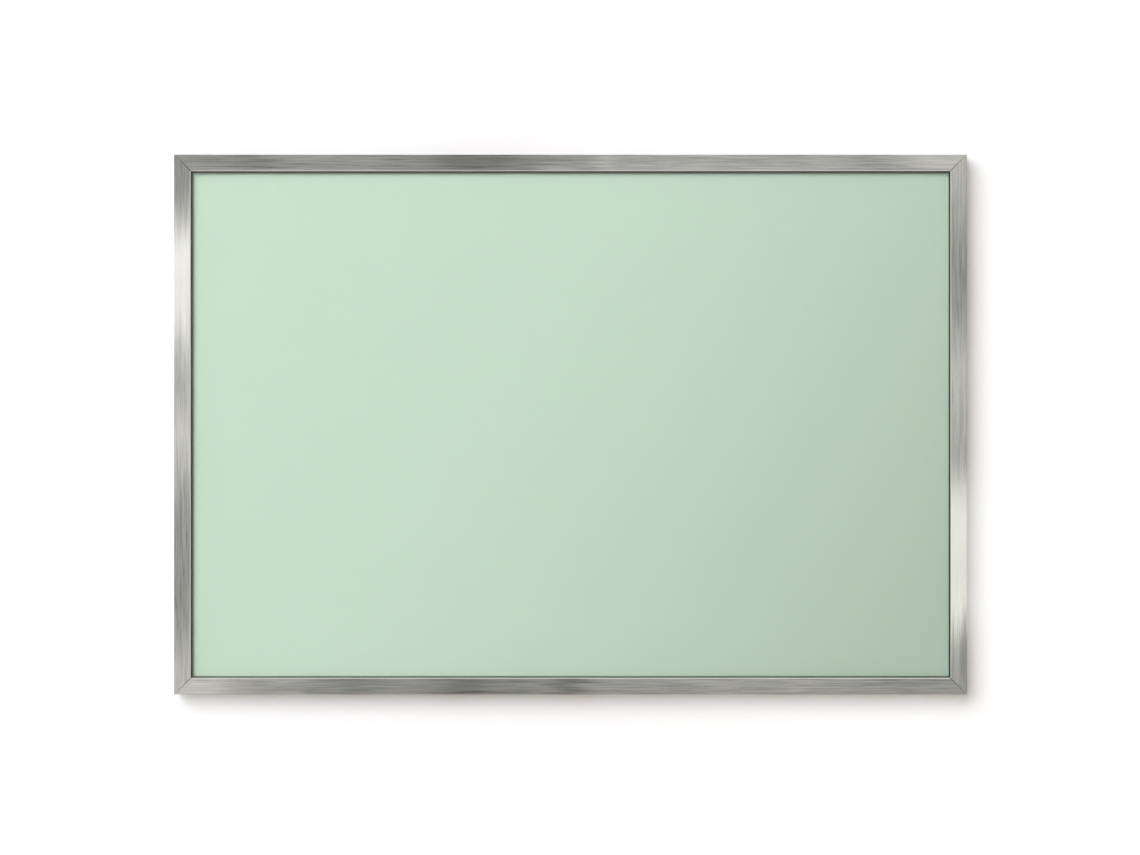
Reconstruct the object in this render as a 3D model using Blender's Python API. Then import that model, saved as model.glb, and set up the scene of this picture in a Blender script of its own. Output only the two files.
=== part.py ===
"""Magnetic glass board in a mitred aluminium frame, hung on a wall rail.

Lengths are in metres. +X is to the right, +Z is up and the board faces -Y. The wall is the plane Y = 0,
and the origin is the middle of the wall rail's rear face. In the sections below, "off" is a distance
from the wall and "inset" a distance inwards from the frame's outer edge. The board lifts off the rail
along +Z.
"""

import math

import bmesh
import bpy
from mathutils import Matrix, Vector

MM = 0.001

# The glass that shows inside the frame
SIGHT_WIDTH = 900 * MM
SIGHT_HEIGHT = 600 * MM

# Clearances
SEAT_GAP = 0.3 * MM  # between a piece and what it lies on
MITRE_GAP = 0.3 * MM  # hairline of the mitres
EDGE_CLEARANCE = 2 * MM  # from the panel's edge to the rail's chamber
CUT_OVERRUN = 1 * MM  # of a cutter past the wall that it cuts

# Panel, from the front to the rear
GLASS_THICKNESS = 4 * MM
COLOUR_THICKNESS = 0.3 * MM
BONDING_THICKNESS = 0.4 * MM
STEEL_THICKNESS = 0.6 * MM
CORE_THICKNESS = 5 * MM
BACK_THICKNESS = 0.5 * MM
GLASS_CORNER = 3 * MM
GLASS_ARRIS = 0.4 * MM
BONDING_MARGIN = 4 * MM  # how far the bonding sheet stops short of the glass edge
STEEL_MARGIN = 1 * MM
CORE_MARGIN = 1.5 * MM
SHEET_CORNER = 2 * MM

# Frame rail
FACE_WIDTH = 20 * MM
FRONT_WALL = 1.6 * MM
OUTER_WALL = 1.5 * MM
INNER_WALL = 1.4 * MM
LEDGE_WALL = 1.4 * MM
CHAMBER_WIDTH = 9.5 * MM
CHAMBER_ROUND = 0.6 * MM
LEDGE_REACH = 19 * MM  # inset of the ledge's edge behind the panel
LIP_BEAD_WIDTH = 1.2 * MM  # bead that holds the gasket behind the lip
LIP_BEAD_DEPTH = 0.6 * MM
OUTER_ROUND = 1.2 * MM
LIP_ROUND = 1.4 * MM
REAR_ROUND = 0.5 * MM
SKIRT_OFF = 1.5 * MM  # from the wall to the rear edge of the outer wall
FOOT_WIDTH = 2.2 * MM  # narrow enough for the screw heads to pass it from behind
FOOT_WALL = 1.4 * MM

# Gasket
GASKET_THICKNESS = 1.6 * MM
GASKET_NOSE = 1 * MM  # thickness of the part that reaches past the lip
GASKET_SHOW = 1.2 * MM  # how far it reaches past the lip
GASKET_COVER = 5.2 * MM  # width of the strip behind the lip
GASKET_ROUND = 0.4 * MM

# Corner keys
KEY_LEG = 46 * MM
KEY_TIP_ROUND = 2 * MM
KEY_SLOT_START = 13.5 * MM
KEY_SLOT_LENGTH = 9 * MM
KEY_SLOT_WIDTH = 4.6 * MM
KEY_SCREW_INSET = 30 * MM

# Pan head screws, in the corners and along the cleat
SCREW_RADIUS = 2 * MM
SCREW_LENGTH = 10 * MM
SCREW_POINT = 1.2 * MM
SCREW_HEAD_RADIUS = 3.8 * MM
SCREW_HEAD_RIM = 0.8 * MM
SCREW_HEAD_HEIGHT = 2 * MM
SCREW_CROWN_RADIUS = 2.6 * MM
SCREW_CROWN_FALL = 0.2 * MM  # how far the crown falls from the socket's mouth to that radius
SCREW_NECK = 0.2 * MM  # depth of the slope under the head
SOCKET_FLAT = 1.25 * MM  # half of the width across the socket's flats
SOCKET_DEPTH = 1.3 * MM

# Board cleat and wall rail
HOOK_WALL = 1.8 * MM
HOOK_OFF = 0.9 * MM  # from the wall to the board's hook
HOOK_LENGTH = 11 * MM
HOOK_TIP_CLEARANCE = 1.5 * MM  # under the board's hook
HOOK_SEAT_INSET = 22 * MM  # from the frame's top edge to the face that carries the board
HOOK_TIP_ROUND = 0.6 * MM
BEND_ROUND = 0.8 * MM
CLEAT_END_INSET = 40 * MM  # from the frame's side to the end of the cleat
CLEAT_FLANGE = 16 * MM
CLEAT_SCREW_MARGIN = 30 * MM  # from the end of the cleat to its first screw
CLEAT_SCREW_COUNT = 6
WALL_RAIL_END_INSET = 80 * MM  # from the end of the cleat to the end of the wall rail
WALL_RAIL_HEIGHT = 30 * MM
WALL_HOLE_RADIUS = 2.25 * MM
WALL_SINK_RADIUS = 4.4 * MM
WALL_HOLE_MARGIN = 50 * MM  # from the end of the wall rail to its first hole
WALL_HOLE_COUNT = 6

# Setting blocks under the glass
BLOCK_LENGTH = 60 * MM
BLOCK_PLACE_SHARE = 0.25  # of the panel's width, from its middle
BLOCK_GROOVE_DEPTH = 0.5 * MM
BLOCK_GROOVE_WIDTH = 1.4 * MM
BLOCK_GROOVE_COUNT = 4

# Rubber buffers at the lower corners
BUFFER_RADIUS = 6 * MM
BUFFER_TIP_RADIUS = 4.8 * MM
BUFFER_SHOULDER = 2.4 * MM
BUFFER_TIP_ROUND = 0.8 * MM
BUFFER_INSET = 11 * MM
BUFFER_SIDE_INSET = 70 * MM

ARC_STEPS = 4
ROUND_SEGMENTS = 18
HEX_SIDES = 6
SHARP_ANGLE = math.radians(30)

# Distances off the wall, worked out from the wall to the front
WALL_HOOK_OFF = HOOK_OFF + HOOK_WALL + SEAT_GAP
CLEAT_FLANGE_OFF = WALL_HOOK_OFF + HOOK_WALL + SEAT_GAP
LEDGE_REAR = CLEAT_FLANGE_OFF + HOOK_WALL + SEAT_GAP
LEDGE_FRONT = LEDGE_REAR + LEDGE_WALL
BACK_REAR = LEDGE_FRONT + SEAT_GAP
CORE_REAR = BACK_REAR + BACK_THICKNESS + SEAT_GAP
STEEL_REAR = CORE_REAR + CORE_THICKNESS + SEAT_GAP
BONDING_REAR = STEEL_REAR + STEEL_THICKNESS + SEAT_GAP
COLOUR_REAR = BONDING_REAR + BONDING_THICKNESS + SEAT_GAP
GLASS_REAR = COLOUR_REAR + COLOUR_THICKNESS + SEAT_GAP
GLASS_FRONT = GLASS_REAR + GLASS_THICKNESS
GASKET_REAR = GLASS_FRONT + SEAT_GAP
FACE_REAR = GASKET_REAR + GASKET_THICKNESS + SEAT_GAP
FACE_FRONT = FACE_REAR + FRONT_WALL

# Insets from the frame's outer edge
CHAMBER_END = OUTER_WALL + CHAMBER_WIDTH
CHAMBER_MIDDLE = OUTER_WALL + CHAMBER_WIDTH / 2
GROOVE_START = CHAMBER_END + INNER_WALL
PANEL_INSET = GROOVE_START + EDGE_CLEARANCE

# Places in the whole
OUTER_WIDTH = SIGHT_WIDTH + 2 * FACE_WIDTH
OUTER_HEIGHT = SIGHT_HEIGHT + 2 * FACE_WIDTH
PANEL_WIDTH = OUTER_WIDTH - 2 * PANEL_INSET
PANEL_HEIGHT = OUTER_HEIGHT - 2 * PANEL_INSET
CLEAT_LENGTH = OUTER_WIDTH - 2 * CLEAT_END_INSET
WALL_RAIL_LENGTH = CLEAT_LENGTH - 2 * WALL_RAIL_END_INSET
SEAT_HEIGHT = WALL_RAIL_HEIGHT / 2 + HOOK_TIP_CLEARANCE + HOOK_LENGTH
TOP_EDGE = SEAT_HEIGHT + HOOK_SEAT_INSET
BOTTOM_EDGE = TOP_EDGE - OUTER_HEIGHT
MIDDLE_HEIGHT = TOP_EDGE - OUTER_HEIGHT / 2
HOLE_RADIUS = SCREW_RADIUS + SEAT_GAP

# A quarter turn more for each, clockwise seen from the front
RAIL_TURNS = {"top": 0, "right": 1, "bottom": 2, "left": 3}
CORNER_TURNS = {"top_left": 0, "top_right": 1, "bottom_right": 2, "bottom_left": 3}


def clear_scene():
    for thing in list(bpy.data.objects):
        bpy.data.objects.remove(thing, do_unlink=True)


def finish(name, colour, roughness, metallic):
    material = bpy.data.materials.new(name)
    material.use_nodes = True
    shader = material.node_tree.nodes["Principled BSDF"]
    shader.inputs["Base Color"].default_value = (*colour, 1)
    shader.inputs["Roughness"].default_value = roughness
    shader.inputs["Metallic"].default_value = metallic
    material.diffuse_color = (*colour, 1)
    return material


def brushed_aluminium():
    return finish("brushed_aluminium", (0.54, 0.54, 0.51), 0.35, 1)


def mill_aluminium():
    return finish("mill_aluminium", (0.62, 0.63, 0.64), 0.5, 1)


def key_casting():
    return finish("key_casting", (0.45, 0.46, 0.47), 0.55, 1)


def zinc_plate():
    return finish("zinc_plate", (0.66, 0.66, 0.63), 0.3, 1)


def mint_glass():
    return finish("mint_glass", (0.58, 0.74, 0.6), 0.04, 0)


def mint_enamel():
    return finish("mint_enamel", (0.56, 0.73, 0.58), 0.6, 0)


def clear_adhesive():
    return finish("clear_adhesive", (0.8, 0.79, 0.72), 0.5, 0)


def galvanised_steel():
    return finish("galvanised_steel", (0.6, 0.61, 0.62), 0.42, 1)


def honeycomb_board():
    return finish("honeycomb_board", (0.5, 0.4, 0.27), 0.9, 0)


def black_rubber():
    return finish("black_rubber", (0.02, 0.02, 0.02), 0.75, 0)


def grey_plastic():
    return finish("grey_plastic", (0.3, 0.31, 0.32), 0.55, 0)


def empty(name):
    """An empty at the origin, on the lift's axis, that carries the pieces of one side of the joint."""
    holder = bpy.data.objects.new(name, None)
    bpy.context.collection.objects.link(holder)
    return holder


def placed(name, mesh, material, holder, location=(0, 0, 0), rotation=(0, 0, 0)):
    """An object of this mesh under its holder."""
    if not mesh.materials:
        mesh.materials.append(material)
    piece = bpy.data.objects.new(name, mesh)
    bpy.context.collection.objects.link(piece)
    piece.parent = holder
    piece.location = location
    piece.rotation_euler = rotation
    return piece


def mesh_of(name, shape):
    """The finished mesh of a bmesh, with its round stretches shaded smooth."""
    bmesh.ops.recalc_face_normals(shape, faces=shape.faces)
    mesh = bpy.data.meshes.new(name)
    shape.to_mesh(mesh)
    shape.free()
    mesh.shade_smooth()
    mesh.set_sharp_from_angle(angle=SHARP_ANGLE)
    return mesh


def filleted(corners):
    """A closed outline as points. Each corner is (x, y, radius), and a radius becomes an arc."""
    points = []
    for index, (x, y, radius) in enumerate(corners):
        here = Vector((x, y))
        if not radius:
            points.append(here)
            continue
        back = (Vector(corners[index - 1][:2]) - here).normalized()
        ahead = (Vector(corners[(index + 1) % len(corners)][:2]) - here).normalized()
        half = back.angle(ahead) / 2
        centre = here + (back + ahead).normalized() * radius / math.sin(half)
        start = here + back * radius / math.tan(half) - centre
        end = here + ahead * radius / math.tan(half) - centre
        sweep = math.pi - 2 * half
        for step in range(ARC_STEPS + 1):
            turned = sweep * step / ARC_STEPS
            spoke = start * math.sin(sweep - turned) + end * math.sin(turned)
            points.append(centre + spoke / math.sin(sweep))
    return points


def circle(x, y, radius):
    angles = [2 * math.pi * step / ROUND_SEGMENTS for step in range(ROUND_SEGMENTS)]
    return [Vector((x + radius * math.cos(angle), y + radius * math.sin(angle))) for angle in angles]


def closed_loop(shape, points):
    """The new corners and edges of a loop through these points."""
    corners = [shape.verts.new(point) for point in points]
    edges = [shape.edges.new((corners[index - 1], corner)) for index, corner in enumerate(corners)]
    return corners, edges


def swept(loops, along):
    """A solid: the flat face between an outer loop and its holes' loops, carried along a vector."""
    shape = bmesh.new()
    edges = []
    for loop in loops:
        edges += closed_loop(shape, loop)[1]
    bmesh.ops.triangle_fill(shape, use_beauty=True, edges=edges)
    moved = bmesh.ops.extrude_face_region(shape, geom=shape.faces[:])
    far_end = [item for item in moved["geom"] if isinstance(item, bmesh.types.BMVert)]
    bmesh.ops.translate(shape, vec=along, verts=far_end)
    return shape


def bar(sections, length):
    """A straight bar along X, centred, from section loops of (off, up) points."""
    loops = [[(-length / 2, -off, up) for off, up in section] for section in sections]
    return swept(loops, (length, 0, 0))


def plate(outlines, thickness):
    """A flat piece from outlines in (x, z), with its rear face at Y = 0 and its front towards -Y."""
    loops = [[(x, 0, z) for x, z in outline] for outline in outlines]
    return swept(loops, (0, -thickness, 0))


def mitred_bar(sections, length):
    """A bar from section loops of (inset, off) points, mitred at both ends, its outer edge at Z = 0."""
    shortened = length - MITRE_GAP * math.sqrt(2)
    shape = bar([[(off, -inset) for inset, off in section] for section in sections], shortened)
    for vertex in shape.verts:
        vertex.co.x -= math.copysign(vertex.co.z, vertex.co.x)
    return shape


def lofted(rings):
    """A closed round solid along Z through rings of equal count, with flat ends."""
    shape = bmesh.new()
    loops = []
    for ring in rings:
        corners, edges = closed_loop(shape, ring)
        loops.append(edges)
        if ring is rings[0] or ring is rings[-1]:
            shape.faces.new(corners)
    for lower, upper in zip(loops, loops[1:]):
        bmesh.ops.bridge_loops(shape, edges=lower + upper)
    return shape


def ring_at(radius, height):
    return [(*point, height) for point in circle(0, 0, radius)]


def hex_ring_at(flat, height):
    """A hexagon's outline with as many points as a circle, so that a loft can join the two."""
    side = 2 * math.pi / HEX_SIDES
    points = []
    for point in circle(0, 0, flat):
        turned = math.atan2(point.y, point.x) % side - side / 2
        points.append((*(point / math.cos(turned)), height))
    return points


def cut(piece, shape):
    """Cuts a shape, given in the piece's own axes, out of it."""
    cutter = bpy.data.objects.new(piece.name + "_cutter", mesh_of(piece.name + "_cutter", shape))
    bpy.context.collection.objects.link(cutter)
    cutter.parent = piece
    cutter.hide_render = True
    cutter.display_type = "WIRE"
    boolean = piece.modifiers.new("holes", "BOOLEAN")
    boolean.operation = "DIFFERENCE"
    boolean.solver = "EXACT"
    boolean.object = cutter


def merge(shape, other):
    """Adds another bmesh to a shape, as a body beside it."""
    carrier = bpy.data.meshes.new("carrier")
    other.to_mesh(carrier)
    other.free()
    shape.from_mesh(carrier)
    bpy.data.meshes.remove(carrier)


def drills(places, rings):
    """A cutter with a round drill at each (x, z), made of (radius, off) rings in order of their off."""
    shape = bmesh.new()
    for x, z in places:
        drill = lofted([ring_at(radius, off) for radius, off in rings])
        bmesh.ops.rotate(drill, matrix=Matrix.Rotation(math.pi / 2, 3, "X"), verts=drill.verts)
        bmesh.ops.translate(drill, vec=(x, 0, z), verts=drill.verts)
        merge(shape, drill)
    return shape


def spaced(count, spacing):
    """Places of a row of holes or grooves, centred on zero."""
    return [(index - (count - 1) / 2) * spacing for index in range(count)]


def spread(count, length, margin):
    """Places of a row of holes along a bar of this length, the outer ones this far from its ends."""
    return spaced(count, (length - 2 * margin) / (count - 1))


def cleat_screw_places():
    return spread(CLEAT_SCREW_COUNT, CLEAT_LENGTH, CLEAT_SCREW_MARGIN)


def rail_sections():
    """The rail's contour and its chamber, as (inset, off) loops."""
    contour = filleted(
        [
            (0, SKIRT_OFF, REAR_ROUND),
            (0, FACE_FRONT, OUTER_ROUND),
            (FACE_WIDTH, FACE_FRONT, LIP_ROUND),
            (FACE_WIDTH, FACE_REAR - LIP_BEAD_DEPTH, 0),
            (FACE_WIDTH - LIP_BEAD_WIDTH, FACE_REAR - LIP_BEAD_DEPTH, 0),
            (FACE_WIDTH - LIP_BEAD_WIDTH, FACE_REAR, 0),
            (GROOVE_START, FACE_REAR, 0),
            (GROOVE_START, LEDGE_FRONT, 0),
            (LEDGE_REACH, LEDGE_FRONT, 0),
            (LEDGE_REACH, LEDGE_REAR, REAR_ROUND),
            (OUTER_WALL, LEDGE_REAR, 0),
            (OUTER_WALL, SKIRT_OFF + FOOT_WALL, 0),
            (FOOT_WIDTH, SKIRT_OFF + FOOT_WALL, REAR_ROUND),
            (FOOT_WIDTH, SKIRT_OFF, REAR_ROUND),
        ]
    )
    chamber = filleted(
        [
            (OUTER_WALL, LEDGE_FRONT, CHAMBER_ROUND),
            (OUTER_WALL, FACE_REAR, CHAMBER_ROUND),
            (CHAMBER_END, FACE_REAR, CHAMBER_ROUND),
            (CHAMBER_END, LEDGE_FRONT, CHAMBER_ROUND),
        ]
    )
    return [contour, chamber]


def side_of(side):
    """Length, location and rotation of this side's strip, its outer edge on the frame's outer edge."""
    turn = RAIL_TURNS[side]
    lying = turn % 2 == 0
    reach = OUTER_HEIGHT / 2 if lying else OUTER_WIDTH / 2
    angle = turn * math.pi / 2
    location = (reach * math.sin(angle), 0, MIDDLE_HEIGHT + reach * math.cos(angle))
    return OUTER_WIDTH if lying else OUTER_HEIGHT, location, (0, angle, 0)


def frame_rails(holder):
    metal = brushed_aluminium()
    for side in RAIL_TURNS:
        length, location, rotation = side_of(side)
        name = "frame_rail_" + side
        mesh = mesh_of(name, mitred_bar(rail_sections(), length))
        rail = placed(name, mesh, metal, holder, location, rotation)
        along = [KEY_SCREW_INSET - length / 2, length / 2 - KEY_SCREW_INSET]
        if side == "top":
            along += cleat_screw_places()
        depths = [(HOLE_RADIUS, LEDGE_REAR - CUT_OVERRUN), (HOLE_RADIUS, LEDGE_FRONT + CUT_OVERRUN)]
        cut(rail, drills([(x, -CHAMBER_MIDDLE) for x in along], depths))


def glazing_gaskets(holder):
    """A black strip between each rail's lip and the glass, with a nose that shows past the lip."""
    rubber = black_rubber()
    bead_edge = FACE_WIDTH - LIP_BEAD_WIDTH - SEAT_GAP
    nose_front = GASKET_REAR + GASKET_NOSE
    section = filleted(
        [
            (FACE_WIDTH - GASKET_COVER, GASKET_REAR, 0),
            (FACE_WIDTH + GASKET_SHOW, GASKET_REAR, 0),
            (FACE_WIDTH + GASKET_SHOW, nose_front, GASKET_ROUND),
            (bead_edge, nose_front, 0),
            (bead_edge, GASKET_REAR + GASKET_THICKNESS, 0),
            (FACE_WIDTH - GASKET_COVER, GASKET_REAR + GASKET_THICKNESS, 0),
        ]
    )
    for side in RAIL_TURNS:
        length, location, rotation = side_of(side)
        name = "glazing_gasket_" + side
        placed(name, mesh_of(name, mitred_bar([section], length)), rubber, holder, location, rotation)


def key_outlines():
    """The corner key's outline, slots and screw holes, measured from the frame's outer corner."""
    near = OUTER_WALL + SEAT_GAP
    far = CHAMBER_END - SEAT_GAP
    outline = filleted(
        [
            (near, -near, KEY_TIP_ROUND),
            (KEY_LEG, -near, KEY_TIP_ROUND),
            (KEY_LEG, -far, KEY_TIP_ROUND),
            (far, -far, 0),
            (far, -KEY_LEG, KEY_TIP_ROUND),
            (near, -KEY_LEG, KEY_TIP_ROUND),
        ]
    )
    low = CHAMBER_MIDDLE - KEY_SLOT_WIDTH / 2
    high = CHAMBER_MIDDLE + KEY_SLOT_WIDTH / 2
    end = KEY_SLOT_START + KEY_SLOT_LENGTH
    slot = [(KEY_SLOT_START, low), (end, low), (end, high), (KEY_SLOT_START, high)]
    across = filleted([(x, -inset, CHAMBER_ROUND) for x, inset in slot])
    down = filleted([(inset, -x, CHAMBER_ROUND) for x, inset in slot])
    bores = [
        circle(KEY_SCREW_INSET, -CHAMBER_MIDDLE, HOLE_RADIUS),
        circle(CHAMBER_MIDDLE, -KEY_SCREW_INSET, HOLE_RADIUS),
    ]
    return [outline, across, down, *bores]


def corner_keys(holder):
    """The angles that join the rails, in their chambers."""
    casting = key_casting()
    depth = FACE_REAR - LEDGE_FRONT - 2 * SEAT_GAP
    mesh = mesh_of("corner_key", plate(key_outlines(), depth))
    for corner, turn in CORNER_TURNS.items():
        side = 1 if "right" in corner else -1
        height = TOP_EDGE if "top" in corner else BOTTOM_EDGE
        location = (side * OUTER_WIDTH / 2, -(LEDGE_FRONT + SEAT_GAP), height)
        placed("corner_key_" + corner, mesh, casting, holder, location, (0, turn * math.pi / 2, 0))


def screw_mesh():
    """A pan head screw with a hexagon socket, its shank along +Z from the rim of its head."""
    rings = [
        hex_ring_at(SOCKET_FLAT, SOCKET_DEPTH - SCREW_HEAD_HEIGHT),
        hex_ring_at(SOCKET_FLAT, -SCREW_HEAD_HEIGHT),
        ring_at(SCREW_CROWN_RADIUS, SCREW_CROWN_FALL - SCREW_HEAD_HEIGHT),
        ring_at(SCREW_HEAD_RADIUS, -SCREW_HEAD_RIM),
        ring_at(SCREW_HEAD_RADIUS, 0),
        ring_at(SCREW_RADIUS, SCREW_NECK),
        ring_at(SCREW_RADIUS, SCREW_LENGTH - SCREW_POINT),
        ring_at(SCREW_RADIUS - SCREW_POINT, SCREW_LENGTH),
    ]
    return mesh_of("pan_head_screw", lofted(rings))


def screws(holder):
    """Two screws into each corner key, and a row that holds the cleat to the top rail."""
    mesh = screw_mesh()
    plated = zinc_plate()
    facing_front = (math.pi / 2, 0, 0)
    for corner in CORNER_TURNS:
        side = 1 if "right" in corner else -1
        inward = -1 if "top" in corner else 1
        edge = TOP_EDGE if "top" in corner else BOTTOM_EDGE
        insets = {"a": (KEY_SCREW_INSET, CHAMBER_MIDDLE), "b": (CHAMBER_MIDDLE, KEY_SCREW_INSET)}
        for mark, (along, down) in insets.items():
            location = (side * (OUTER_WIDTH / 2 - along), SEAT_GAP - LEDGE_REAR, edge + inward * down)
            placed(f"corner_screw_{corner}_{mark}", mesh, plated, holder, location, facing_front)
    for number, x in enumerate(cleat_screw_places(), 1):
        location = (x, SEAT_GAP - CLEAT_FLANGE_OFF, TOP_EDGE - CHAMBER_MIDDLE)
        placed(f"cleat_screw_{number}", mesh, plated, holder, location, facing_front)


def sheet(holder, name, material, rear, thickness, corner, margin=0):
    """One layer of the panel, smaller all round than the glass by the margin."""
    half_width = PANEL_WIDTH / 2 - margin
    half_height = PANEL_HEIGHT / 2 - margin
    outline = filleted(
        [
            (-half_width, -half_height, corner),
            (half_width, -half_height, corner),
            (half_width, half_height, corner),
            (-half_width, half_height, corner),
        ]
    )
    mesh = mesh_of(name, plate([outline], thickness))
    return placed(name, mesh, material, holder, (0, -rear, MIDDLE_HEIGHT))


def panel(holder):
    """The glass with its ground edges, and the layers bonded behind it."""
    mint = mint_glass()
    glass = sheet(holder, "glass_panel", mint, GLASS_REAR, GLASS_THICKNESS, GLASS_CORNER)
    arris = glass.modifiers.new("ground_edges", "BEVEL")
    arris.width = GLASS_ARRIS
    arris.segments = 1
    arris.limit_method = "ANGLE"
    arris.angle_limit = SHARP_ANGLE
    enamel = mint_enamel()
    sheet(holder, "colour_layer", enamel, COLOUR_REAR, COLOUR_THICKNESS, GLASS_CORNER)
    glue = clear_adhesive()
    sheet(holder, "bonding_sheet", glue, BONDING_REAR, BONDING_THICKNESS, SHEET_CORNER, BONDING_MARGIN)
    steel = galvanised_steel()
    sheet(holder, "magnetic_steel_sheet", steel, STEEL_REAR, STEEL_THICKNESS, SHEET_CORNER, STEEL_MARGIN)
    core = honeycomb_board()
    sheet(holder, "core_board", core, CORE_REAR, CORE_THICKNESS, SHEET_CORNER, CORE_MARGIN)
    sheet(holder, "back_plate", steel, BACK_REAR, BACK_THICKNESS, SHEET_CORNER)


def setting_blocks(holder):
    """Grooved strips in the bottom rail that carry the panel's weight."""
    plastic = grey_plastic()
    low = GROOVE_START + SEAT_GAP
    high = PANEL_INSET - SEAT_GAP
    rear = LEDGE_FRONT + SEAT_GAP
    roof = low + BLOCK_GROOVE_DEPTH
    section = [(rear, high), (rear, low)]
    for place in spaced(BLOCK_GROOVE_COUNT, 2 * BLOCK_GROOVE_WIDTH):
        start = (rear + GLASS_FRONT - BLOCK_GROOVE_WIDTH) / 2 + place
        end = start + BLOCK_GROOVE_WIDTH
        section += [(start, low), (start, roof), (end, roof), (end, low)]
    section += [(GLASS_FRONT, low), (GLASS_FRONT, high)]
    mesh = mesh_of("setting_block", bar([section], BLOCK_LENGTH))
    for side, sign in (("left", -1), ("right", 1)):
        location = (sign * PANEL_WIDTH * BLOCK_PLACE_SHARE, 0, BOTTOM_EDGE)
        placed("setting_block_" + side, mesh, plastic, holder, location)


def board_cleat(holder):
    """The Z profile on the board's back: a flange on the top rail's ledge and a hook along the wall."""
    flange_front = CLEAT_FLANGE_OFF + HOOK_WALL
    section = filleted(
        [
            (flange_front, 0, BEND_ROUND),
            (flange_front, CLEAT_FLANGE, 0),
            (CLEAT_FLANGE_OFF, CLEAT_FLANGE, 0),
            (CLEAT_FLANGE_OFF, HOOK_WALL, 0),
            (HOOK_OFF, HOOK_WALL, BEND_ROUND),
            (HOOK_OFF, -HOOK_LENGTH, HOOK_TIP_ROUND),
            (HOOK_OFF + HOOK_WALL, -HOOK_LENGTH, HOOK_TIP_ROUND),
            (HOOK_OFF + HOOK_WALL, 0, 0),
        ]
    )
    mesh = mesh_of("board_cleat", bar([section], CLEAT_LENGTH))
    cleat = placed("board_cleat", mesh, mill_aluminium(), holder, (0, 0, SEAT_HEIGHT))
    rise = HOOK_SEAT_INSET - CHAMBER_MIDDLE
    places = [(x, rise) for x in cleat_screw_places()]
    depths = [(HOLE_RADIUS, CLEAT_FLANGE_OFF - CUT_OVERRUN), (HOLE_RADIUS, flange_front + CUT_OVERRUN)]
    cut(cleat, drills(places, depths))


def wall_rail(holder):
    """The Z profile on the wall: a flange with countersunk holes and an upright hook."""
    low = -WALL_RAIL_HEIGHT / 2
    high = WALL_RAIL_HEIGHT / 2
    hook_front = WALL_HOOK_OFF + HOOK_WALL
    hook_top = SEAT_HEIGHT - SEAT_GAP
    section = filleted(
        [
            (0, low, 0),
            (HOOK_WALL, low, 0),
            (HOOK_WALL, high - HOOK_WALL, 0),
            (hook_front, high - HOOK_WALL, BEND_ROUND),
            (hook_front, hook_top, HOOK_TIP_ROUND),
            (WALL_HOOK_OFF, hook_top, HOOK_TIP_ROUND),
            (WALL_HOOK_OFF, high, 0),
            (0, high, BEND_ROUND),
        ]
    )
    mesh = mesh_of("wall_rail", bar([section], WALL_RAIL_LENGTH))
    rail = placed("wall_rail", mesh, mill_aluminium(), holder)
    places = [(x, 0) for x in spread(WALL_HOLE_COUNT, WALL_RAIL_LENGTH, WALL_HOLE_MARGIN)]
    sink = WALL_SINK_RADIUS - WALL_HOLE_RADIUS
    depths = [
        (WALL_HOLE_RADIUS, -CUT_OVERRUN),
        (WALL_HOLE_RADIUS, HOOK_WALL - sink / 2),
        (WALL_SINK_RADIUS, HOOK_WALL),
        (WALL_SINK_RADIUS, HOOK_WALL + CUT_OVERRUN),
    ]
    cut(rail, drills(places, depths))


def wall_buffers(holder):
    """Rubber buffers that keep the lower edge parallel to the wall, their tips at Y = 0."""
    height = LEDGE_REAR - SEAT_GAP
    rings = [
        ring_at(BUFFER_TIP_RADIUS - BUFFER_TIP_ROUND, 0),
        ring_at(BUFFER_TIP_RADIUS, BUFFER_TIP_ROUND),
        ring_at(BUFFER_RADIUS, height - BUFFER_SHOULDER),
        ring_at(BUFFER_RADIUS, height),
    ]
    mesh = mesh_of("wall_buffer", lofted(rings))
    rubber = black_rubber()
    for side, sign in (("left", -1), ("right", 1)):
        location = (sign * (OUTER_WIDTH / 2 - BUFFER_SIDE_INSET), 0, BOTTOM_EDGE + BUFFER_INSET)
        placed("wall_buffer_" + side, mesh, rubber, holder, location, (math.pi / 2, 0, 0))


def build():
    clear_scene()
    wall_side = empty("wall_side")
    board_side = empty("board_side")
    wall_rail(wall_side)
    frame_rails(board_side)
    glazing_gaskets(board_side)
    corner_keys(board_side)
    screws(board_side)
    panel(board_side)
    setting_blocks(board_side)
    board_cleat(board_side)
    wall_buffers(board_side)


build()
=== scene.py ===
"""The looks of the magnetic glass board: its finishes, the studio round it and the camera.

Lengths are in metres. The board faces -Y and hangs on the wall, which is the plane Y = 0.
"""

import math

import bpy
from mathutils import Matrix, Vector

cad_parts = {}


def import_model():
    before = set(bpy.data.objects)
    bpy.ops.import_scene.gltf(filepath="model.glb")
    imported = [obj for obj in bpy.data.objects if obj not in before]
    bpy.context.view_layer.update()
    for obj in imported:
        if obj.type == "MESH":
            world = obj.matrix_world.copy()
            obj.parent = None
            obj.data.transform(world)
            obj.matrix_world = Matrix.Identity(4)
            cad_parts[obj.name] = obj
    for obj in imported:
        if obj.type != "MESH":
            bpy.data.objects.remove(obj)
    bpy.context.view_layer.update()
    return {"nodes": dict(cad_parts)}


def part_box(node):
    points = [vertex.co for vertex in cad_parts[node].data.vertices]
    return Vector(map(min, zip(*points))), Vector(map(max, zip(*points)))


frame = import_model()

MM = 0.001

# Camera: what the picture takes in, and how far the board's middle lies from the picture's middle
VIEW_WIDTH = 1351 * MM
LENS_MM = 70
SENSOR_MM = 36
BOARD_RIGHT_OF_MIDDLE = 0.6 * MM
BOARD_ABOVE_MIDDLE = 3.5 * MM

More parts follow.
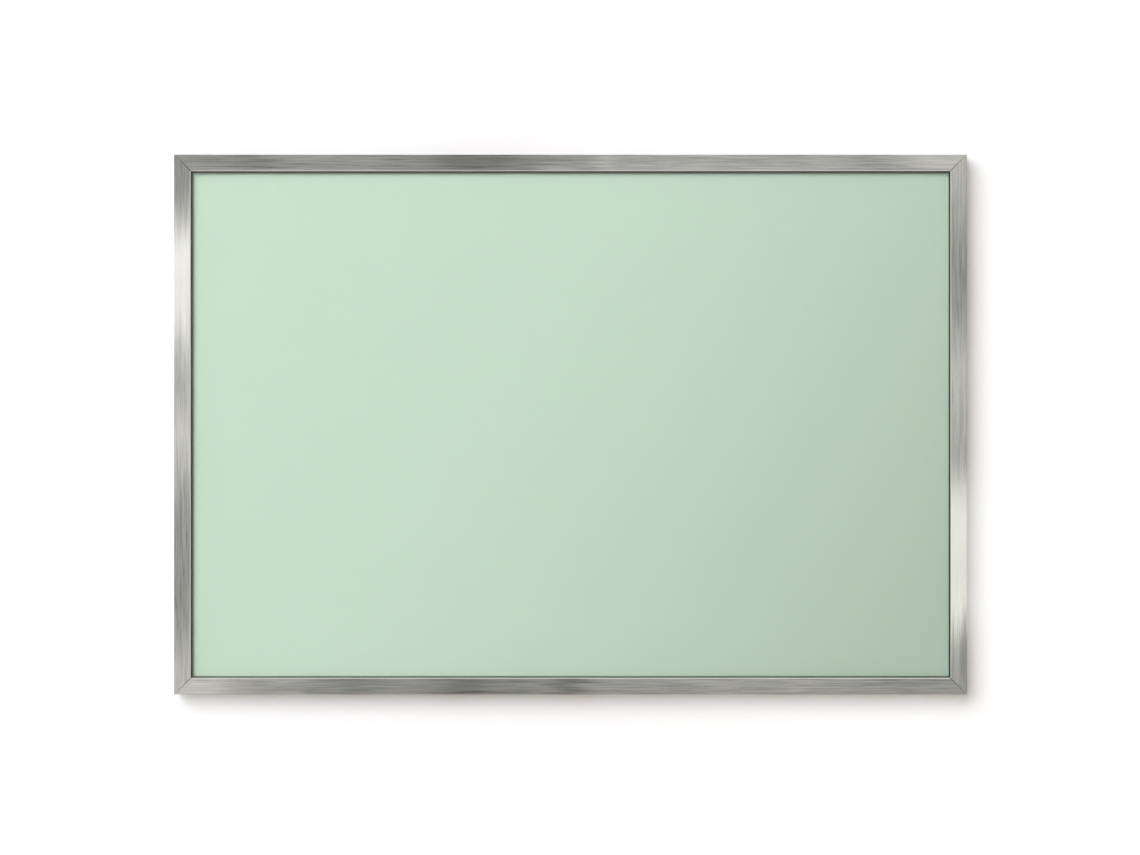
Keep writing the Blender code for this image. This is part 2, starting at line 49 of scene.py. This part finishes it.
# Wall and floor
WALL_WIDTH = 3200 * MM
WALL_RISE = 1300 * MM  # above the board's middle
FLOOR_DROP = 1050 * MM  # below the board's middle
FLOOR_RADIUS = 6000 * MM
FLOOR_SIDES = 64
WALL_OFF = 0.4 * MM  # behind the wall rail's rear face
WALL_COLOUR = (1.11, 1.135, 1.246)  # over 1, so that it is pure white wherever the board's shadow ends
WALL_GROWTH = (0.15, 0, -0.09)  # by the metre, to the right and down, where the key lamp gives less light
WALL_SPREAD = 0.27  # by the square metre, away from the board's middle
WALL_GLOW = (0.07, 0.045, 0)  # what keeps the shadow's core warm
FLOOR_COLOUR = (0.43, 0.43, 0.425)
FLOOR_GLOW = (0.55, 0.55, 0.55)

# Light
AMBIENT = (0.2, 0.19, 0.14)
GLEAM = (-0.2, 0, 0.2)  # against this direction, the studio that metal mirrors falls off from white
KEY_DISTANCE = 5000 * MM
KEY_SIZE = 4500 * MM
KEY_POWER = 225  # watts, as for the other lamps
KEY_TILT = math.radians(38)  # off the board's normal
BEAM_TILT = math.radians(30)  # off the board's normal
BEAM_EDGE = (320, 605)  # direction, right and up, in which the beam's edge crosses the glass
BEAM_REACH = 250 * MM  # from the board's middle to where the beam is half as bright
BEAM_COVER = 1050 * MM  # from the board's middle the other way, to past the far corner
BEAM_LENGTH = 1666 * MM
BEAM_DISTANCE = 2500 * MM
BEAM_SPREAD = math.radians(17)
BEAM_POWER = 2.4
REAR_DISTANCE = 3000 * MM
REAR_SIZE = 2400 * MM
REAR_POWER = 90
REAR_SIDE = (-0.4, 1, 0.5)  # direction from the board to the lamp behind it

# Noise: between which values most of it lies, and how many finer layers it has
NOISE_LOW = 0.3
NOISE_HIGH = 0.7
PLAIN_DETAIL = 2
GRAIN_DETAIL = 4
SCRATCH_DETAIL = 3

# Frame rail: the four rails, each with the direction from it to the glass
RAILS = {"top": (0, 0, -1), "right": (-1, 0, 0), "bottom": (0, 0, 1), "left": (1, 0, 0)}
# Tone of each rail at its middle, partly the metal's own and partly painted light that differs by side, and
# how much it grows by the metre to the right or up, a painted ramp of light
RAIL_TONES_WITH_PAINTED_LIGHT = {"top": (0.36, 0.14), "right": (0.275, 0), "bottom": (0.31, 0.07), "left": (0.3, 0)}
# Painted sheen, stretches painted brighter or duller for reflections along the rail: place to the right or up
# from the rail's middle, reach, and how much the tone gains there
PAINTED_SHEEN_STRETCHES = {
    "top": (
        (-380 * MM, 25 * MM, -0.06),
        (-110 * MM, 85 * MM, -0.14),
        (40 * MM, 15 * MM, 0.09),
        (130 * MM, 60 * MM, 0.04),
        (360 * MM, 25 * MM, -0.07),
        (445 * MM, 40 * MM, 0.1),
    ),
    "right": (
        (310 * MM, 85 * MM, 0.19),
        (70 * MM, 60 * MM, 0.2),
        (0, 55 * MM, 0.1),
        (-95 * MM, 45 * MM, 0.46),
        (-155 * MM, 45 * MM, 0.44),
        (-215 * MM, 40 * MM, 0.48),
        (-300 * MM, 60 * MM, 0.05),
    ),
    "bottom": (
        (-445 * MM, 60 * MM, 0.24),
        (-335 * MM, 20 * MM, 0.06),
        (-255 * MM, 30 * MM, -0.06),
        (-130 * MM, 40 * MM, -0.11),
        (-60 * MM, 30 * MM, -0.04),
        (0, 25 * MM, -0.12),
        (175 * MM, 35 * MM, 0.04),
        (270 * MM, 60 * MM, 0.04),
        (415 * MM, 60 * MM, -0.02),
    ),
    "left": (
        (210 * MM, 40 * MM, 0.48),
        (145 * MM, 50 * MM, 0.48),
        (85 * MM, 50 * MM, 0.15),
        (-15 * MM, 60 * MM, 0.27),
        (-300 * MM, 55 * MM, 0.18),
    ),
}
FEATHER = 12 * MM  # how far the scratches pull the ends of those stretches along
METAL_TINT = (1, 1, 0.925)
LIP_HIGHLIGHT_TONE = 0.9  # of the painted highlight on the lip's round
HALFWAY_ROUND = 2  # makes that painted highlight full where the round faces halfway between the front and the glass
MITRE_STAIN = 0.95 * MM  # width of the dark line along each side of a mitre
MITRE_DARKNESS = 0.95
MITRE_REACH = 15 * MM  # from the frame's outer edge to where the line is at its darkest
MITRE_EDGE = 1.6 * MM  # from the mitre to the painted highlight beside it on the upright rails
MITRE_EDGE_WIDTH = 0.7 * MM
# How much brighter the painted highlight beside each mitre makes the upright rails
MITRE_PAINTED_HIGHLIGHT = 0.25
LIP_DEPTH = 4 * MM  # from the frame's front face to where the painted shade on the lip's flank ends
# How squarely the lip's flank faces the glass, where its painted shade starts and where it is darkest
FLANK_FACING = (0.5, 0.85)
# Painted shade on the lip's flank, by side: weak on the bottom rail, whose flank faces up into the light
FLANK_PAINTED_SHADE = {"top": 0.85, "right": 0.92, "bottom": 0.35, "left": 0.55}
BRUSHING = 0.6
BRUSHED_ROUGHNESS = (0.27, 0.4)
BRUSHED_RELIEF = 0.012 * MM
STREAK = (42 * MM, 1.1 * MM)  # length and width of the scratches
BROAD_STREAK = (130 * MM, 3.4 * MM)
HAIR = (12 * MM, 0.3 * MM)
STREAK_CONTRAST = 0.38  # where the rail is dark; the brighter its painted tone and sheen, the fainter they are
BROAD_CONTRAST = 0.17

# Glass
GLASS_TINT = (0.985, 1, 0.99)
GLASS_IOR = 1.5
GLASS_CLOUD = (400 * MM, 400 * MM, 400 * MM)  # cell of the noise that tints it
GLASS_MOTTLE = 0.005
GLASS_WAVE = (300 * MM, 60 * MM, 60 * MM)  # cell of the waves in its face
GLASS_RELIEF = 0.02 * MM

# Galvanised sheet
GALVANISED = (0.46, 0.47, 0.48)
CRYSTAL = 9 * MM
CRYSTAL_TONE = (0.88, 1.12)
CRYSTAL_ROUGHNESS = (0.32, 0.52)
CRYSTAL_GRAIN = (1.5 * MM, 1.5 * MM, 1.5 * MM)
CRYSTAL_MOTTLE = 0.05
CRYSTAL_RELIEF = 0.02 * MM

# Colours of the finishes with an even grain
MINT = (0.497, 0.635, 0.52)
RUBBER = (0.06, 0.064, 0.06)
FILM = (0.8, 0.79, 0.74)
STEEL = (0.42, 0.42, 0.43)
CARD = (0.42, 0.3, 0.19)
NYLON = (0.08, 0.08, 0.085)
CASTING = (0.45, 0.46, 0.47)
ZINC = (0.6, 0.6, 0.57)
ALUMINIUM = (0.6, 0.61, 0.62)
# Cells of the grain that runs along X
ROLLING = (60 * MM, 0.8 * MM, 0.8 * MM)
DRAWING = (90 * MM, 0.7 * MM, 0.7 * MM)
FIBRES = (5 * MM, 0.8 * MM, 0.8 * MM)
# Finishes with an even grain: the cell along X, Y and Z, how much the grain mottles the colour, and its depth
MINT_COAT = dict(colour=MINT, roughness=0.5, cell=(0.8 * MM,) * 3, mottle=0.012, depth=0.005 * MM)
GASKET_RUBBER = dict(colour=RUBBER, roughness=0.6, cell=(0.5 * MM,) * 3, mottle=0.3, depth=0.03 * MM)
BUFFER_RUBBER = dict(colour=RUBBER, roughness=0.65, cell=(0.5 * MM,) * 3, mottle=0.3, depth=0.05 * MM)
BONDING_FILM = dict(colour=FILM, roughness=0.5, cell=(2 * MM,) * 3, mottle=0.06, depth=0.03 * MM)
CORE_CARD = dict(colour=CARD, roughness=0.9, cell=FIBRES, mottle=0.2, depth=0.03 * MM)
BLOCK_NYLON = dict(colour=NYLON, roughness=0.5, cell=(0.7 * MM,) * 3, mottle=0.2, depth=0.03 * MM)
ROLLED = dict(colour=STEEL, roughness=0.4, cell=ROLLING, mottle=0.15, depth=0.03 * MM)
CAST = dict(colour=CASTING, roughness=0.5, cell=(1.2 * MM,) * 3, mottle=0.15, depth=0.03 * MM)
PLATED = dict(colour=ZINC, roughness=0.3, cell=(0.6 * MM,) * 3, mottle=0.12, depth=0.01 * MM)
EXTRUDED = dict(colour=ALUMINIUM, roughness=0.36, cell=DRAWING, mottle=0.1, depth=0.01 * MM)

# How near each other the points of two faces are joined, and how far two faces turn to keep their edge sharp
WELD_DISTANCE = 0.005 * MM
SHARP_ANGLE = math.radians(30)

board_low, board_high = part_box("frame_rail_bottom")[0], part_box("frame_rail_top")[1]
middle = (board_low + board_high) / 2
front = board_low.y


class Nodes:
    """A node tree, with short calls that add nodes and join them."""

    def __init__(self, tree):
        self.tree = tree

    def give(self, node, inputs):
        """Sets a node's inputs, each to a value or to another node's output."""
        for name, value in inputs.items():
            if isinstance(value, bpy.types.NodeSocket):
                self.tree.links.new(value, node.inputs[name])
            else:
                node.inputs[name].default_value = value

    def add(self, kind, inputs=None, **settings):
        """A new node of this kind."""
        node = self.tree.nodes.new(kind)
        for name, value in settings.items():
            setattr(node, name, value)
        self.give(node, inputs or {})
        return node

    def math(self, operation, *values):
        """What comes of this operation on numbers and outputs."""
        return self.add("ShaderNodeMath", dict(enumerate(values)), operation=operation).outputs[0]

    def dot(self, one, other):
        """The dot product of two vectors."""
        product = self.add("ShaderNodeVectorMath", {0: one, 1: other}, operation="DOT_PRODUCT")
        return product.outputs["Value"]

    def grown(self, value, mask, share):
        """The value, larger by this share of it where the mask is 1."""
        return self.math("MULTIPLY", value, self.math("MULTIPLY_ADD", mask, share, 1))

    def line(self, distance, width):
        """1 at no distance, falling evenly to 0 at this width."""
        return self.math("MAXIMUM", self.math("MULTIPLY_ADD", distance, -1 / width, 1), 0)

    def shown(self):
        """1 for what the camera sees, straight, in a reflection or through glass."""
        path = self.add("ShaderNodeLightPath").outputs
        bent = self.math("MAXIMUM", path["Is Glossy Ray"], path["Is Transmission Ray"])
        return self.math("MAXIMUM", path["Is Camera Ray"], bent)


class Finish(Nodes):
    """A Principled material whose colour, roughness and relief come from noise."""

    def __init__(self, name, colour, metallic=0):
        self.material = bpy.data.materials.new(name)
        self.material.use_nodes = True
        super().__init__(self.material.node_tree)
        self.shader = self.tree.nodes["Principled BSDF"]
        self.colour = colour
        self.set({"Base Color": (*colour, 1), "Metallic": metallic})
        self.here = self.add("ShaderNodeTexCoord").outputs["Object"]

    def set(self, inputs):
        """Sets the shader's own inputs."""
        self.give(self.shader, inputs)

    def noise(self, cell, detail=PLAIN_DETAIL):
        """Noise from 0 to 1 whose cells measure this much along X, Y and Z."""
        waves = [1 / size for size in cell]
        scaled = self.add("ShaderNodeVectorMath", {0: self.here, 1: waves}, operation="MULTIPLY")
        inputs = {"Vector": scaled.outputs[0], "Scale": 1, "Detail": detail}
        return self.add("ShaderNodeTexNoise", inputs).outputs[0]

    def between(self, value, low, high):
        """Spreads noise from low to high."""
        limits = {"From Min": NOISE_LOW, "From Max": NOISE_HIGH, "To Min": low, "To Max": high}
        return self.add("ShaderNodeMapRange", {"Value": value, **limits}).outputs[0]

    def tint(self, level):
        """Makes the colour lighter and darker by a level that varies over the surface."""
        scaled = self.add("ShaderNodeVectorMath", {0: self.colour, "Scale": level}, operation="SCALE")
        self.set({"Base Color": scaled.outputs[0]})

    def relief(self, height, depth):
        """Raises the surface by this depth where the height is 1."""
        bump = self.add("ShaderNodeBump", {"Height": height, "Distance": depth, "Strength": 1})
        self.set({"Normal": bump.outputs[0]})


def grained(name, colour, roughness, cell, mottle, depth, metallic=0):
    """A finish with an even grain: cast, moulded, plated, drawn or rolled."""
    finish = Finish(name, colour, metallic)
    grain = finish.noise(cell, GRAIN_DETAIL)
    finish.tint(finish.between(grain, 1 - mottle, 1 + mottle))
    finish.set({"Roughness": finish.between(grain, roughness - mottle / 2, roughness + mottle / 2)})
    finish.relief(grain, depth)
    return finish.material


def scratches(finish, lying, streak):
    """Noise drawn out along the rail."""
    length, width = streak
    return finish.noise((length, width, width) if lying else (width, width, length), SCRATCH_DETAIL)


def stretches(finish, side, along, wide):
    """The rail's tone along its length, with its painted ramp and stretches of painted sheen. The wide
    scratches pull the ends of those stretches out of line.
    """
    level, growth = RAIL_TONES_WITH_PAINTED_LIGHT[side]
    shade = finish.math("MULTIPLY_ADD", along, growth, level)
    feathered = finish.math("ADD", along, finish.between(wide, -FEATHER, FEATHER))
    for spot, reach, gain in PAINTED_SHEEN_STRETCHES[side]:
        off = finish.math("DIVIDE", finish.math("SUBTRACT", feathered, spot), reach)
        fade = finish.math("EXPONENT", finish.math("MULTIPLY", finish.math("MULTIPLY", off, off), -1))
        shade = finish.math("MULTIPLY_ADD", fade, gain, shade)
    return shade


def scratched(finish, shade, fine, wide):
    """The tone with the scratches in it, which are fainter where the painted sheen makes the rail bright."""
    broad = finish.between(wide, -BROAD_CONTRAST, BROAD_CONTRAST)
    streaks = finish.math("ADD", finish.between(fine, -STREAK_CONTRAST, STREAK_CONTRAST), broad)
    return finish.grown(shade, streaks, finish.math("SUBTRACT", 1, shade))


def lipped(finish, side, shade, depth):
    """The tone with a painted highlight on the lip's round and painted shade on its flank, close to the
    glass.
    """
    normal = finish.add("ShaderNodeNewGeometry").outputs["Normal"]
    inward = finish.math("MAXIMUM", finish.dot(normal, RAILS[side]), 0)
    ahead = finish.math("MAXIMUM", finish.dot(normal, (0, -HALFWAY_ROUND, 0)), 0)
    # Where the painted highlight on the lip's round falls
    lip = finish.math("MULTIPLY", inward, ahead)
    shade = finish.math("MULTIPLY_ADD", finish.math("SUBTRACT", LIP_HIGHLIGHT_TONE, shade), lip, shade)
    start, full = FLANK_FACING
    facing = {"Value": inward, "From Min": start, "From Max": full}
    flank = finish.add("ShaderNodeMapRange", facing).outputs[0]
    # Painted shade on the lip's flank, only near the front of the frame
    painted_flank_shade = finish.math("MULTIPLY", flank, finish.math("LESS_THAN", depth, front + LIP_DEPTH))
    return finish.grown(shade, painted_flank_shade, -FLANK_PAINTED_SHADE[side])


def mitred(finish, lying, shade, right, up):
    """The tone with the dark line along each mitre and, on the upright rails, a painted highlight beside it.
    """
    across = finish.math("SUBTRACT", finish.math("ABSOLUTE", right), (board_high.x - board_low.x) / 2)
    upright = finish.math("SUBTRACT", finish.math("ABSOLUTE", up), (board_high.z - board_low.z) / 2)
    off_mitre = finish.math("ABSOLUTE", finish.math("SUBTRACT", across, upright))
    nearness = finish.math("MINIMUM", finish.math("MULTIPLY", across, -1 / MITRE_REACH), 1)
    stain = finish.math("MULTIPLY", finish.line(off_mitre, MITRE_STAIN), nearness)
    shade = finish.grown(shade, stain, -MITRE_DARKNESS)
    if lying:
        return shade
    off_edge = finish.math("ABSOLUTE", finish.math("SUBTRACT", off_mitre, MITRE_EDGE))
    return finish.grown(shade, finish.line(off_edge, MITRE_EDGE_WIDTH), MITRE_PAINTED_HIGHLIGHT)


def brushed_rail(side):
    """Aluminium brushed along the rail, with fine scratches, stretches of painted sheen, bright or dull, and
    painted highlights and shade at the lip and mitres.
    """
    finish = Finish("brushed_" + side, METAL_TINT, metallic=1)
    lying = side in ("top", "bottom")
    place = finish.add("ShaderNodeSeparateXYZ", {0: finish.here}).outputs
    right, up = place["X"], finish.math("SUBTRACT", place["Z"], middle.z)
    fine, wide, hairs = (scratches(finish, lying, streak) for streak in (STREAK, BROAD_STREAK, HAIR))
    shade = stretches(finish, side, right if lying else up, wide)
    shade = scratched(finish, shade, fine, wide)
    shade = lipped(finish, side, shade, place["Y"])
    finish.tint(mitred(finish, lying, shade, right, up))
    tangent = finish.add("ShaderNodeTangent", direction_type="RADIAL", axis="X" if lying else "Z")
    roughness = finish.between(fine, *BRUSHED_ROUGHNESS)
    finish.set({"Roughness": roughness, "Anisotropic": BRUSHING, "Tangent": tangent.outputs[0]})
    finish.relief(finish.math("ADD", fine, hairs), BRUSHED_RELIEF)
    return finish.material


def clear_glass():
    """Clear toughened glass with faint waves, which lets the lamps through to the colour coat behind it."""
    finish = Finish("clear_glass", GLASS_TINT)
    finish.set({"Roughness": 0, "Transmission Weight": 1, "IOR": GLASS_IOR})
    finish.tint(finish.between(finish.noise(GLASS_CLOUD), 1 - GLASS_MOTTLE, 1 + GLASS_MOTTLE))
    finish.relief(finish.noise(GLASS_WAVE), GLASS_RELIEF)
    path = finish.add("ShaderNodeLightPath").outputs
    lit = finish.math("MAXIMUM", path["Is Shadow Ray"], path["Is Diffuse Ray"])
    through = finish.add("ShaderNodeBsdfTransparent", {"Color": (*GLASS_TINT, 1)}).outputs[0]
    mixed = finish.add("ShaderNodeMixShader", {0: lit, 1: finish.shader.outputs[0], 2: through})
    finish.give(finish.tree.nodes["Material Output"], {"Surface": mixed.outputs[0]})
    return finish.material


def galvanised_sheet():
    """Sheet steel with the flat crystals that zinc leaves on it."""
    finish = Finish("galvanised_steel", GALVANISED, metallic=1)
    cells = finish.add("ShaderNodeTexVoronoi", {"Vector": finish.here, "Scale": 1 / CRYSTAL})
    crystal = finish.add("ShaderNodeSeparateXYZ", {0: cells.outputs["Color"]}).outputs

    def spread(value, low, high):
        return finish.math("MULTIPLY_ADD", value, high - low, low)

    grain = finish.noise(CRYSTAL_GRAIN, GRAIN_DETAIL)
    mottle = finish.between(grain, 1 - CRYSTAL_MOTTLE, 1 + CRYSTAL_MOTTLE)
    finish.tint(finish.math("MULTIPLY", spread(crystal["X"], *CRYSTAL_TONE), mottle))
    finish.set({"Roughness": spread(crystal["Y"], *CRYSTAL_ROUGHNESS)})
    finish.relief(grain, CRYSTAL_RELIEF)
    return finish.material


def gasket_rubber():
    """Black rubber, cut from a smooth strip."""
    return grained("gasket_rubber", **GASKET_RUBBER)


def buffer_rubber():
    """Black moulded rubber, a little rougher than the gasket's."""
    return grained("buffer_rubber", **BUFFER_RUBBER)


def mint_coat():
    """The colour layer behind the glass, all but even."""
    return grained("mint_coat", **MINT_COAT)


def bonding_film():
    """A pale adhesive film, slightly cloudy."""
    return grained("bonding_film", **BONDING_FILM)


def rolled_steel():
    """Bare sheet steel with the long marks of rolling."""
    return grained("rolled_steel", **ROLLED, metallic=1)


def core_card():
    """Brown card with short fibres."""
    return grained("honeycomb_card", **CORE_CARD)


def block_nylon():
    """Black moulded nylon."""
    return grained("block_nylon", **BLOCK_NYLON)


def key_casting():
    """Die-cast metal with a coarse skin."""
    return grained("key_casting", **CAST, metallic=1)


def zinc_plate():
    """The screws' plating."""
    return grained("zinc_plate", **PLATED, metallic=1)


def mill_aluminium():
    """Bare aluminium with the fine lines of extrusion."""
    return grained("mill_aluminium", **EXTRUDED, metallic=1)


plating = zinc_plate()
extrusion = mill_aluminium()
FINISH_OF = {
    "glazing_gasket": gasket_rubber(),
    "wall_buffer": buffer_rubber(),
    "glass_panel": clear_glass(),
    "colour_layer": mint_coat(),
    "bonding_sheet": bonding_film(),
    "magnetic_steel_sheet": rolled_steel(),
    "core_board": core_card(),
    "back_plate": galvanised_sheet(),
    "setting_block": block_nylon(),
    "corner_key": key_casting(),
    "corner_screw": plating,
    "cleat_screw": plating,
    "board_cleat": extrusion,
    "wall_rail": extrusion,
}
FINISH_OF.update({"frame_rail_" + side: brushed_rail(side) for side in RAILS})


def rounding():
    """Node group that joins a solid's faces and keeps only its real corners sharp."""
    tree = bpy.data.node_groups.new("joined_faces", "GeometryNodeTree")
    for way in ("INPUT", "OUTPUT"):
        tree.interface.new_socket("Geometry", in_out=way, socket_type="NodeSocketGeometry")
    nodes = Nodes(tree)
    source = nodes.add("NodeGroupInput").outputs[0]
    joined = nodes.add("GeometryNodeMergeByDistance", {"Geometry": source, "Distance": WELD_DISTANCE})
    angle = nodes.add("GeometryNodeInputMeshEdgeAngle").outputs["Unsigned Angle"]
    sharp = nodes.math("GREATER_THAN", angle, SHARP_ANGLE)
    edges = {"Remove Custom": True, "Edge Sharpness": sharp, "Face Sharpness": False}
    smooth = nodes.add("GeometryNodeSetMeshNormal", {"Mesh": joined.outputs[0], **edges}, mode="SHARPNESS")
    nodes.add("NodeGroupOutput", {0: smooth.outputs[0]})
    return tree


def dress_nodes():
    """Gives each piece of the board its finish and smooth rounds."""
    joined = rounding()
    for name, node in frame["nodes"].items():
        finishes = (finish for start, finish in FINISH_OF.items() if name.startswith(start))
        node.material_slots[0].material = next(finishes)
        node.modifiers.new("joined_faces", "NODES").node_group = joined
        node.modifiers.new("rounds", "WEIGHTED_NORMAL").keep_sharp = True


def stage_piece(name, corners, colour, glow):
    """A flat piece of the studio and its finish."""
    mesh = bpy.data.meshes.new(name)
    mesh.from_pydata(corners, [], [range(len(corners))])
    made = bpy.data.objects.new(name, mesh)
    bpy.context.scene.collection.objects.link(made)
    finish = Finish(name, colour)
    finish.set({"Roughness": 1, "Specular IOR Level": 0})
    finish.set({"Emission Color": (*glow, 1), "Emission Strength": finish.shown()})
    mesh.materials.append(finish.material)
    return made, finish


def wall():
    """A white wall that the camera alone sees, and from the front alone, so it never hides the back."""
    half = WALL_WIDTH / 2
    low = middle.z - FLOOR_DROP
    high = middle.z + WALL_RISE
    corners = [(-half, WALL_OFF, low), (half, WALL_OFF, low), (half, WALL_OFF, high), (-half, WALL_OFF, high)]
    made, finish = stage_piece("studio_wall", corners, WALL_COLOUR, WALL_GLOW)
    place = finish.add("ShaderNodeVectorMath", {0: finish.here, 1: middle}, operation="SUBTRACT").outputs[0]
    away = finish.math("MULTIPLY_ADD", finish.dot(place, place), WALL_SPREAD, 1)
    finish.tint(finish.math("ADD", away, finish.dot(place, WALL_GROWTH)))
    seen = finish.add("ShaderNodeLightPath").outputs["Is Camera Ray"]
    behind = finish.add("ShaderNodeNewGeometry").outputs["Backfacing"]
    shown = finish.math("MAXIMUM", finish.math("SUBTRACT", seen, behind), 0)
    clear = finish.add("ShaderNodeBsdfTransparent").outputs[0]
    mixed = finish.add("ShaderNodeMixShader", {0: shown, 1: clear, 2: finish.shader.outputs[0]})
    finish.give(finish.tree.nodes["Material Output"], {"Surface": mixed.outputs[0]})
    beam_misses(made)


def beam_misses(piece):
    """Keeps the beam, which is meant for the board, off a piece of the studio."""
    missed = bpy.data.collections.new("beam_misses")
    missed.objects.link(piece)
    missed.collection_objects[0].light_linking.link_state = "EXCLUDE"
    bpy.data.objects["beam"].light_linking.receiver_collection = missed


def floor():
    """A pale round floor that keeps the board's shadow and stays pale in the metal."""
    turns = [2 * math.pi * step / FLOOR_SIDES for step in range(FLOOR_SIDES)]
    height = middle.z - FLOOR_DROP
    corners = [(FLOOR_RADIUS * math.cos(turn), FLOOR_RADIUS * math.sin(turn), height) for turn in turns]
    stage_piece("studio_floor", corners, FLOOR_COLOUR, FLOOR_GLOW)


def world():
    """White to the camera, white to pale grey in the metal, and a soft even light on the board."""
    made = bpy.data.worlds.new("studio")
    made.use_nodes = True
    bpy.context.scene.world = made
    nodes = Nodes(made.node_tree)
    path = nodes.add("ShaderNodeLightPath").outputs
    direction = nodes.add("ShaderNodeTexCoord").outputs["Generated"]
    falloff = nodes.math("MINIMUM", nodes.dot(direction, GLEAM), 0)
    white = nodes.math("MULTIPLY_ADD", path["Is Glossy Ray"], falloff, 1)
    mixed = nodes.add("ShaderNodeMixRGB", {0: nodes.shown(), 1: (*AMBIENT, 1), 2: white}).outputs[0]
    nodes.give(made.node_tree.nodes["Background"], {"Color": mixed, "Strength": 1})


def lamp(name, size, power):
    """An area lamp that neither the camera nor a reflection shows."""
    data = bpy.data.lights.new(name, "AREA")
    data.size = size
    data.energy = power
    made = bpy.data.objects.new(name, data)
    bpy.context.scene.collection.objects.link(made)
    made.visible_camera = False
    made.visible_glossy = False
    made.visible_transmission = False
    return made


def from_upper_left(tilt):
    """Direction from the board to the upper left, halfway between left and up, tilted off its normal."""
    side = math.sin(tilt) / math.sqrt(2)
    return Vector((-side, -math.cos(tilt), side))


def lamps():
    """The large key lamp at the upper left, and one behind for the board's back. Both face its middle."""
    for name, back, distance, size, power in (
        ("key", from_upper_left(KEY_TILT), KEY_DISTANCE, KEY_SIZE, KEY_POWER),
        ("rear", Vector(REAR_SIDE).normalized(), REAR_DISTANCE, REAR_SIZE, REAR_POWER),
    ):
        made = lamp(name, size, power)
        made.location = middle + back * distance
        made.rotation_euler = (-back).to_track_quat("-Z", "Y").to_euler()


def beam():
    """A gridded softbox whose soft edge crosses the glass, so that its lower right corner gets less light."""
    edge = Vector((BEAM_EDGE[0], 0, BEAM_EDGE[1])).normalized()
    outward = Vector((edge.z, 0, -edge.x))
    aim = middle + outward * (BEAM_REACH - BEAM_COVER) / 2
    back = from_upper_left(BEAM_TILT)
    side = (edge - back * edge.dot(back)).normalized()
    made = lamp("beam", (BEAM_REACH + BEAM_COVER) * math.cos(BEAM_TILT), BEAM_POWER)
    made.data.shape = "RECTANGLE"
    made.data.size_y = BEAM_LENGTH
    made.data.spread = BEAM_SPREAD
    turn = Matrix((side.cross(back), side, back)).transposed()
    made.matrix_world = Matrix.Translation(aim + back * BEAM_DISTANCE) @ turn.to_4x4()


def camera():
    """Looks straight at the board, as in the photograph."""
    data = bpy.data.cameras.new("camera")
    data.lens = LENS_MM
    data.sensor_width = SENSOR_MM
    made = bpy.data.objects.new("camera", data)
    bpy.context.scene.collection.objects.link(made)
    distance = VIEW_WIDTH * LENS_MM / SENSOR_MM
    made.location = (-BOARD_RIGHT_OF_MIDDLE, front - distance, middle.z - BOARD_ABOVE_MIDDLE)
    made.rotation_euler = (math.pi / 2, 0, 0)
    bpy.context.scene.camera = made


camera()
world()
lamps()
beam()
wall()
floor()
dress_nodes()
bpy.context.scene.view_settings.view_transform = "Standard"
